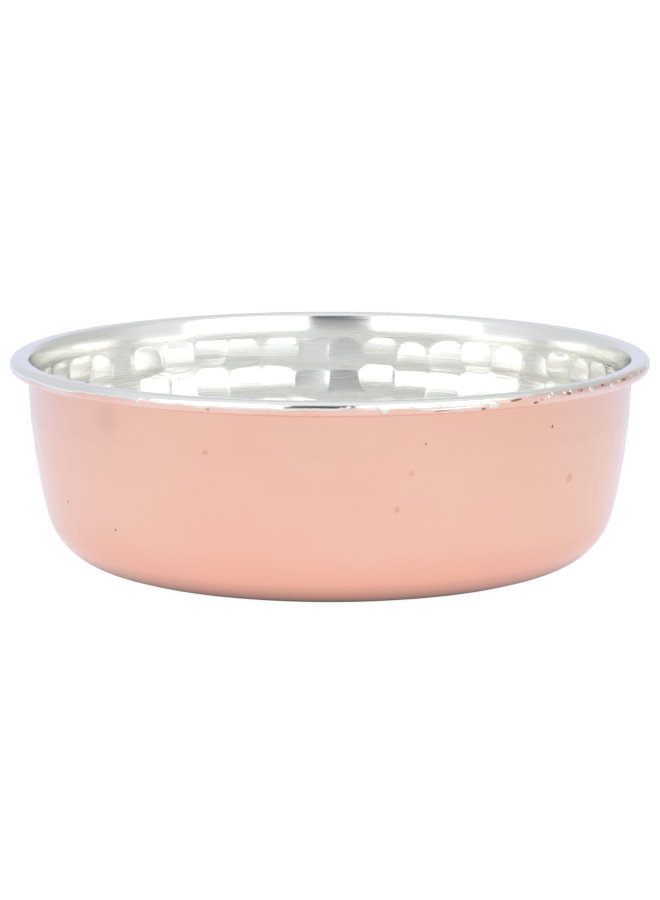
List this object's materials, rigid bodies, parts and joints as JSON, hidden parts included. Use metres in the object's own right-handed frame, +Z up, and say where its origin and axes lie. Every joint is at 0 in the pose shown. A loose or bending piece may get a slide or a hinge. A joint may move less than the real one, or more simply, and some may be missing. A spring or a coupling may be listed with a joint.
{
  "type": "bowl",
  "caption": "Round open bowl of hammered copper sheet, tin-lined inside, with a flat base, upright wall and rolled, wired rim.",
  "frame": {"origin": "centre of the flat base, on the surface the bowl rests on", "axes": "+Z up along the bowl's axis of revolution; X and Y across the bowl"},
  "size_m": [0.2, 0.2, 0.066],
  "materials": {
    "copper": "bright polished copper, hammered",
    "tin": "hand-wiped tin, bright",
    "wire": "plain drawn steel, hidden in the roll"
  },
  "bodies": {
    "root": {"copper_shell": "copper", "tin_lining": "tin", "rim_wire": "wire"}
  },
  "joints": []
}
